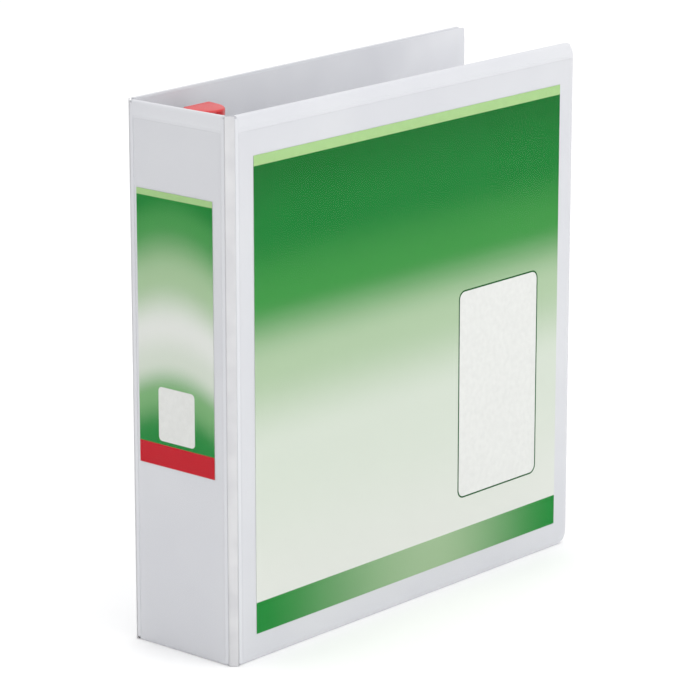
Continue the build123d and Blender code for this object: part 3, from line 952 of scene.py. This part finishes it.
# ---- covers --------------------------------------------------------------------------------------
@dataclass
class Covers:
    """The film shells and clear pockets of both covers.

    Attributes:
        measures: the binder's shared places.
        fore_corner: corner radius at the fore-edge.
        hinge_corner: corner radius at the hinge.
        band_end: from the fore-edge to the end of the turned-over band.
        band_nose: corner radius at that end.
    """

    measures: Measures
    fore_corner: float = 8.0 * MM
    hinge_corner: float = 0.0
    band_end: float = 2.4 * MM
    band_nose: float = 4.0 * MM

    def film_shell(self) -> bpy.types.Object:
        """Models the front cover's white film over its board, with the lip at the crease."""
        low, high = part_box("front_outer_film")
        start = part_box("front_board")[0].x - self.measures.rim
        shell = SoftSlab(
            Vector((start, low.y, low.z)),
            high,
            self.fore_corner,
            self.hinge_corner,
            SIZES.roll,
            SIZES.roll_depth,
            back_edge=SIZES.back_edge,
        ).build("front_cover_film")
        half = self.measures.strip / 2
        crease = self.measures.crease
        lip = crease_lip(
            Vector((crease.x + half + WELD_CLEARANCE, crease.y - half, self.measures.bottom_gap)),
            Vector((start + SIZES.roll / 2, crease.y + half, high.z - self.measures.bottom_gap)),
        )
        band_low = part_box("front_overlay")[1].z + SIZES.mouth_gap
        band = turned_over_band(
            Vector((start, low.y, band_low)),
            Vector((high.x - self.band_end, low.y, high.z)),
            SIZES.band_proud,
            self.band_nose,
        )
        return join([shell, lip, band], "front_cover_film")

    def build(self, materials: dict[Finish, bpy.types.Material]) -> None:
        """Builds both covers' films and pockets.

        Args:
            materials: a material for each finish.
        """
        to_back = self.measures.to_back()
        shell = self.film_shell()
        smooth(shell)
        dress(shell, materials[Finish.WHITE_FILM])
        pocket = clear_pocket(*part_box("front_overlay"), self.fore_corner, "front_clear_pocket")
        smooth(pocket)
        dress(pocket, materials[Finish.CLEAR_FILM])
        back_shell = copy_of(shell, "back_cover_film", to_back)
        back_pocket = copy_of(pocket, "back_clear_pocket", to_back)
        for piece, body, node, slot in (
            (shell, "front_cover", "front_outer_film", "outer_film"),
            (pocket, "front_cover", "front_overlay", "clear_film"),
            (back_shell, "back_cover", "back_outer_film", "outer_film"),
            (back_pocket, "back_cover", "back_overlay", "clear_film"),
        ):
            finish_piece(piece, body, slot, node)


def finish_piece(piece: bpy.types.Object, body: str, slot: str, *nodes: str) -> None:
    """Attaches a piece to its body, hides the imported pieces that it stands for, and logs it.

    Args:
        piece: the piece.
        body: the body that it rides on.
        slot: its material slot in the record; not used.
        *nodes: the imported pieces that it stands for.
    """
    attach(piece, body)
    if nodes:
        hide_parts(*nodes)
    log.info("%s rides on %s, %d faces", piece.name, body, len(piece.data.polygons))


# ---- spine ---------------------------------------------------------------------------------------
@dataclass
class Spine:
    """The spine's film shell and its clear pocket.

    Attributes:
        measures: the binder's shared places.
        corner: corner radius of the film's ends.
    """

    measures: Measures
    corner: float = 0.0

    def turned(self, node: str) -> tuple[Vector, Vector]:
        """Returns a spine node's box turned so that its outer face looks along -Y."""
        low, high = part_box(node)
        return Vector((low.y, low.x, low.z)), Vector((high.y, high.x, high.z))

    def turn_back(self, piece: bpy.types.Object) -> None:
        """Swaps X and Y, which mirrors, and puts the faces the right way out again."""
        swap = Matrix(((0, 1, 0, 0), (1, 0, 0, 0), (0, 0, 1, 0), (0, 0, 0, 1)))
        piece.data.transform(swap)
        piece.data.flip_normals()

    def build(self, materials: dict[Finish, bpy.types.Material]) -> None:
        """Builds the spine's film, with a lip at each crease, and its pocket.

        Args:
            materials: a material for each finish.
        """
        board_low, board_high = self.turned("spine_board")
        low, high = self.turned("spine_outer_film")
        rim = self.measures.rim
        start, end = board_low.x - rim, board_high.x + rim
        parts = [
            SoftSlab(
                Vector((start, low.y, low.z)),
                Vector((end, high.y, high.z)),
                self.corner,
                self.corner,
                SIZES.roll,
                SIZES.roll_depth,
                back_edge=SIZES.back_edge,
            ).build("spine_film")
        ]
        half = self.measures.strip / 2
        crease_depth = self.measures.spine_crease.x
        gap = half + WELD_CLEARANCE
        front_crease = self.measures.spine_crease.y
        back_crease = 2 * self.measures.middle_y - front_crease
        for near, far in (
            (front_crease + gap, start + SIZES.roll / 2),
            (end - SIZES.roll / 2, back_crease - gap),
        ):
            lip = crease_lip(
                Vector((near, crease_depth - half, self.measures.bottom_gap)),
                Vector((far, crease_depth + half, high.z - self.measures.bottom_gap)),
            )
            parts.append(lip)
        band_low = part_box("spine_overlay")[1].z + SIZES.mouth_gap
        parts.append(
            turned_over_band(
                Vector((start, low.y, band_low)), Vector((end, low.y, high.z)), SIZES.band_proud, 0.0
            )
        )
        shell = join(parts, "spine_film")
        self.turn_back(shell)
        smooth(shell)
        dress(shell, materials[Finish.WHITE_FILM])
        finish_piece(shell, "spine", "outer_film", "spine_outer_film")

        pocket = clear_pocket(*self.turned("spine_overlay"), SIZES.pocket_corner, "spine_clear_pocket")
        self.turn_back(pocket)
        smooth(pocket)
        dress(pocket, materials[Finish.CLEAR_FILM])
        finish_piece(pocket, "spine", "clear_film", "spine_overlay")


# ---- printed inserts -----------------------------------------------------------------------------
@dataclass(frozen=True)
class Print:
    """A shape printed on a sheet.

    Attributes:
        name: what it is.
        area: its left, top, right and bottom edges, in millimetres from the sheet's top left corner.
        rounding: corner radius in millimetres.
        layer: 1 for the lowest ink, and up.
        ink: its colour.
    """

    name: str
    area: Area
    rounding: float
    layer: int
    ink: Ink | FadingInk


def grown(area: Area, by: float) -> Area:
    """Returns an area pushed out by a distance on each side."""
    left, top, right, bottom = area
    return (left - by, top - by, right + by, bottom + by)


GREEN_DEEP = Ink("deep_green_ink", "0c5a20")
GREEN_PALE = Ink("pale_green_ink", "b4dc96")
RED_INK = Ink("red_ink", "d0202e")
WHITE_INK = Ink("unprinted_white", "f4f5f2")

FOOT_GREEN = FadingInk("fading_green_ink", "1c9038", "a8c79c", (-0.1245, 0.1295), 0.02)

CARD = (167.0, 104.0, 235.0, 222.0)

FRONT_PRINTS: tuple[Print, ...] = (
    Print("foot_band", (0.0, 240.8, 254.0, 258.0), 0.0, 1, FOOT_GREEN),
    Print("top_strip", (0.0, 0.0, 254.0, 5.6), 0.0, 1, GREEN_PALE),
    Print("card_edge", grown(CARD, 0.9), 5.0, 2, GREEN_DEEP),
    Print("card", CARD, 4.2, 3, WHITE_INK),
)
SPINE_PRINTS: tuple[Print, ...] = (
    Print("spine_strip", (0.0, 0.0, 54.0, 3.4), 0.0, 1, GREEN_PALE),
    Print("spine_red_band", (0.0, 136.5, 54.0, 148.5), 0.0, 1, RED_INK),
    Print("spine_card", (14.0, 105.0, 40.0, 134.5), 2.4, 2, WHITE_INK),
)


@dataclass
class Inserts:
    """The printed sheets in the clear pockets.

    Attributes:
        ink_step: height between two layers of ink, thick enough to keep them apart.
    """

    ink_step: float = 0.006 * MM

    def shape(self, item: Print, to_sheet: Matrix) -> bpy.types.Object:
        """Models one printed shape as a thin plate.

        Args:
            item: the shape.
            to_sheet: turns right, down and out, in metres, into a point.

        Returns:
            The plate.
        """
        left, top, right, bottom = (edge * MM for edge in item.area)
        deselect()
        bpy.ops.mesh.primitive_plane_add(
            size=1.0, location=((left + right) / 2, -(top + bottom) / 2, 0.0)
        )
        plate = bpy.context.object
        plate.scale = (right - left, bottom - top, 1.0)
        bpy.ops.object.transform_apply(location=True, rotation=True, scale=True)
        bpy.ops.object.mode_set(mode="EDIT")
        bpy.ops.mesh.select_all(action="SELECT")
        if item.rounding > 0:
            bpy.ops.mesh.bevel(offset=item.rounding * MM, segments=6, affect="VERTICES")
            bpy.ops.mesh.select_all(action="SELECT")
        bpy.ops.mesh.extrude_region_move(
            TRANSFORM_OT_translate={"value": (0.0, 0.0, item.layer * self.ink_step)}
        )
        bpy.ops.mesh.select_all(action="SELECT")
        bpy.ops.mesh.normals_make_consistent(inside=False)
        bpy.ops.object.mode_set(mode="OBJECT")
        plate.matrix_world = to_sheet
        bpy.ops.object.transform_apply(location=True, rotation=True, scale=True)
        return plate

    def print_on(self, node: str, body: str, prints: tuple[Print, ...], to_sheet: Matrix) -> None:
        """Prints shapes on a sheet, joined by ink into one piece each.

        Args:
            node: the start of the pieces' names.
            body: the body that they ride on.
            prints: the shapes.
            to_sheet: turns right, down and out, in metres, into a point.
        """
        inks = {item.ink.name: item.ink for item in prints}
        for ink_name, ink in inks.items():
            plates = [self.shape(item, to_sheet) for item in prints if item.ink.name == ink_name]
            piece = join(plates, f"{node}_{ink_name}")
            material = bpy.data.materials.get(ink_name) or ink.material()
            dress(piece, material)
            finish_piece(piece, body, "printed_paper")

    def build(self) -> None:
        """Washes both sheets with their printed ground and prints the shapes."""
        low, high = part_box("front_insert")
        ground = PrintedSheet(
            "offset_printed_cover_sheet",
            (
                Stop(0.0, "0f7328"),
                Stop(0.16, "168433"),
                Stop(0.30, "3f9b45"),
                Stop(0.44, "b9d3ae"),
                Stop(0.62, "e2ebdd"),
                Stop(1.0, "f0f2ec"),
            ),
            high.z,
            low.z,
            (low.x + high.x) / 2,
            "X",
            (high.x - low.x) / 2,
            "Y",
            (low.y + high.y) / 2,
            glow=0.0,
        )
        dress(FRAME["nodes"]["front_insert"], ground.material())
        to_front = Matrix(((1, 0, 0, low.x), (0, 0, -1, low.y), (0, 1, 0, high.z), (0, 0, 0, 1)))
        self.print_on("front_insert", "front_insert", FRONT_PRINTS, to_front)

        low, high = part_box("spine_insert")
        ground = PrintedSheet(
            "offset_printed_spine_label",
            (
                Stop(0.0, "1f8c38"),
                Stop(0.10, "4da353"),
                Stop(0.30, "b4d4a8"),
                Stop(0.48, "f4f7f1"),
                Stop(0.60, "e4eddf"),
                Stop(0.72, "86bd80"),
                Stop(0.86, "2a9243"),
                Stop(1.0, "1c8a3a"),
            ),
            high.z,
            low.z,
            (low.y + high.y) / 2,
            "Y",
            (high.y - low.y) / 2,
            "X",
            (low.x + high.x) / 2,
            glow=0.05,
        )
        dress(FRAME["nodes"]["spine_insert"], ground.material())
        to_spine = Matrix(((0, 0, -1, low.x), (-1, 0, 0, high.y), (0, 1, 0, high.z), (0, 0, 0, 1)))
        self.print_on("spine_insert", "spine_insert", SPINE_PRINTS, to_spine)


# ---- levers' grips -------------------------------------------------------------------------------
@dataclass
class Grips:
    """The soft grips moulded over the levers' tabs."""

    edge: float = 0.9 * MM

    def build(self, nodes: dict[str, bpy.types.Object], material: bpy.types.Material) -> None:
        """Rounds a copy of each pad and stands it in the pad's place.

        Args:
            nodes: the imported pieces.
            material: the grips' finish.
        """
        for level in ("top", "bottom"):
            grip = copy_of(nodes[f"{level}_lever_pad"], f"{level}_gel_grip", Matrix.Identity(4))
            activate(grip)
            bpy.ops.object.mode_set(mode="EDIT")
            bpy.ops.mesh.select_all(action="SELECT")
            bpy.ops.mesh.remove_doubles(threshold=MERGE)
            bpy.ops.mesh.dissolve_limited(angle_limit=math.radians(1.0))
            bpy.ops.object.mode_set(mode="OBJECT")
            soften = grip.modifiers.new("moulded_edges", "BEVEL")
            soften.width = self.edge
            soften.segments = 4
            soften.limit_method = "ANGLE"
            soften.angle_limit = math.radians(50)
            bpy.ops.object.modifier_apply(modifier=soften.name)
            smooth(grip, 50)
            dress(grip, material)
            finish_piece(grip, f"{level}_lever", "grip_rubber", f"{level}_lever_pad")


@dataclass
class RivetHeads:
    """Shallow domed heads of the rivets, under the back cover's clear pocket."""

    radius: float = 4.9 * MM
    dome: float = 0.3 * MM

    def build(self, measures: Measures, material: bpy.types.Material) -> None:
        """Models a dome over each of the two rivets, leaning with the back cover.

        Args:
            measures: the binder's shared places.
            material: the heads' finish.
        """
        low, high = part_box("cover_rivets")
        middle = (low.x + high.x) / 2
        face = 2 * measures.middle_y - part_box("front_outer_film")[0].y
        lean = Matrix.Rotation(measures.lean, 4, "Z")
        hinge = Vector((measures.crease.x, 2 * measures.middle_y - measures.crease.y, 0))
        turn = Matrix.Translation(hinge) @ lean @ Matrix.Translation(-hinge)
        upright = turn.inverted() @ Vector((middle, high.y, 0))
        domes = []
        for height in (low.z + self.radius, high.z - self.radius):
            deselect()
            bpy.ops.mesh.primitive_uv_sphere_add(
                radius=1.0, segments=40, ring_count=20, location=(upright.x, face, height)
            )
            dome = bpy.context.object
            dome.scale = (self.radius, self.dome, self.radius)
            bpy.ops.object.transform_apply(location=True, rotation=True, scale=True)
            dome.matrix_world = turn
            bpy.ops.object.transform_apply(location=True, rotation=True, scale=True)
            domes.append(dome)
        heads = join(domes, "rivet_heads")
        smooth(heads)
        dress(heads, material)
        finish_piece(heads, "back_cover", "plated_steel")


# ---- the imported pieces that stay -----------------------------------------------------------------
def dress_nodes(nodes: dict[str, bpy.types.Object], materials: dict[Finish, bpy.types.Material]) -> None:
    """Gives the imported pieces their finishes.

    Args:
        nodes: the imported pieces.
        materials: a material for each finish.
    """
    endings = {
        "hinge_strip": Finish.STRIP_FILM,
        "inner_liner": Finish.LINER_FILM,
        "board": Finish.CHIPBOARD,
        "inner_pocket": Finish.FROSTED_FILM,
        "ring_arc": Finish.NICKEL_WIRE,
        "ring_leg": Finish.NICKEL_WIRE,
        "posts": Finish.NICKEL_WIRE,
        "rivets": Finish.NICKEL_WIRE,
        "pivot_pin": Finish.NICKEL_WIRE,
        "housing": Finish.NICKEL_SHEET,
        "hinge_plate": Finish.NICKEL_SHEET,
        "slide": Finish.LEVER_STEEL,
        "lever": Finish.LEVER_STEEL,
    }
    for name, node in nodes.items():
        for ending, finish in endings.items():
            if name.endswith(ending):
                dress(node, materials[finish])
                log.info("%s is %s", name, finish.value)
                break


# ---- studio --------------------------------------------------------------------------------------
@dataclass
class Studio:
    """A pale floor, soft lights and the camera."""

    camera_at: Vector = field(default_factory=lambda: Vector((-1.460, -1.2722, 0.6594)))
    aim: Vector = field(default_factory=lambda: Vector((-0.0029, -0.0005, 0.138)))
    lens: float = 187.0

    def area(self, name: str, at: Vector, size: float, power: float, colour: str) -> None:
        """Adds a square soft light that looks at the binder.

        Args:
            name: the light's name.
            at: its place.
            size: its side.
            power: its power in watts.
            colour: sRGB hex of its light.
        """
        lamp = bpy.data.lights.new(name, "AREA")
        lamp.size = size
        lamp.energy = power
        lamp.color = linear(colour)[:3]
        holder = bpy.data.objects.new(name, lamp)
        holder.location = at
        holder.rotation_euler = (self.aim - at).to_track_quat("-Z", "Y").to_euler()
        bpy.context.scene.collection.objects.link(holder)

    def build(self) -> None:
        """Sets the floor, the lights, the surroundings and the camera."""
        deselect()
        bpy.ops.mesh.primitive_plane_add(size=14.0, location=(0.0, 0.0, 0.0))
        floor = settle(bpy.context.object, "studio_floor")
        material, tree, _ = new_tree("matt_white_floor")
        shader = add_node(
            tree, "ShaderNodeBsdfPrincipled", {"Base Color": linear("ffffff"), "Roughness": 0.9}
        )
        add_node(tree, "ShaderNodeOutputMaterial", {"Surface": shader.outputs[0]})
        dress(floor, material)

        self.area("key", Vector((0.5, -2.6, 1.9)), 1.8, 26.0, "ffffff")
        self.area("overhead", Vector((0.1, 0.4, 2.4)), 1.6, 12.0, "ffffff")

        world = bpy.data.worlds.new("pale_surroundings")
        world.use_nodes = True
        ground = world.node_tree.nodes["Background"]
        ground.inputs["Color"].default_value = linear("ffffff")
        ground.inputs["Strength"].default_value = 0.92
        bpy.context.scene.world = world
        bpy.context.scene.view_settings.view_transform = "Standard"

        lens = bpy.data.cameras.new("camera")
        lens.lens = self.lens
        lens.sensor_width = 36.0
        camera = bpy.data.objects.new("camera", lens)
        camera.location = self.camera_at
        camera.rotation_euler = (self.aim - self.camera_at).to_track_quat("-Z", "Y").to_euler()
        bpy.context.scene.collection.objects.link(camera)
        bpy.context.scene.camera = camera


def main() -> None:
    """Builds every piece in order."""
    logging.basicConfig(level=logging.INFO, format="%(name)s: %(message)s")
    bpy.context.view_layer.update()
    measures = Measures()
    measures.read(FRAME)
    finishes = (
        WHITE_FILM, STRIP_FILM, LINER_FILM, CHIPBOARD, CLEAR_FILM,
        FROSTED_FILM, NICKEL_WIRE, NICKEL_SHEET, LEVER_STEEL, GEL_RED,
    )
    materials = {surface.finish: surface.material() for surface in finishes}
    dress_nodes(FRAME["nodes"], materials)
    for strip in ("front_hinge_strip", "back_hinge_strip"):
        round_strip(strip, materials[Finish.STRIP_FILM])
    Covers(measures).build(materials)
    Spine(measures).build(materials)
    Inserts().build()
    Grips().build(FRAME["nodes"], materials[Finish.GEL_RED])
    RivetHeads().build(measures, materials[Finish.NICKEL_WIRE])
    Studio().build()


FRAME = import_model()
if __name__ == "__main__":
    main()
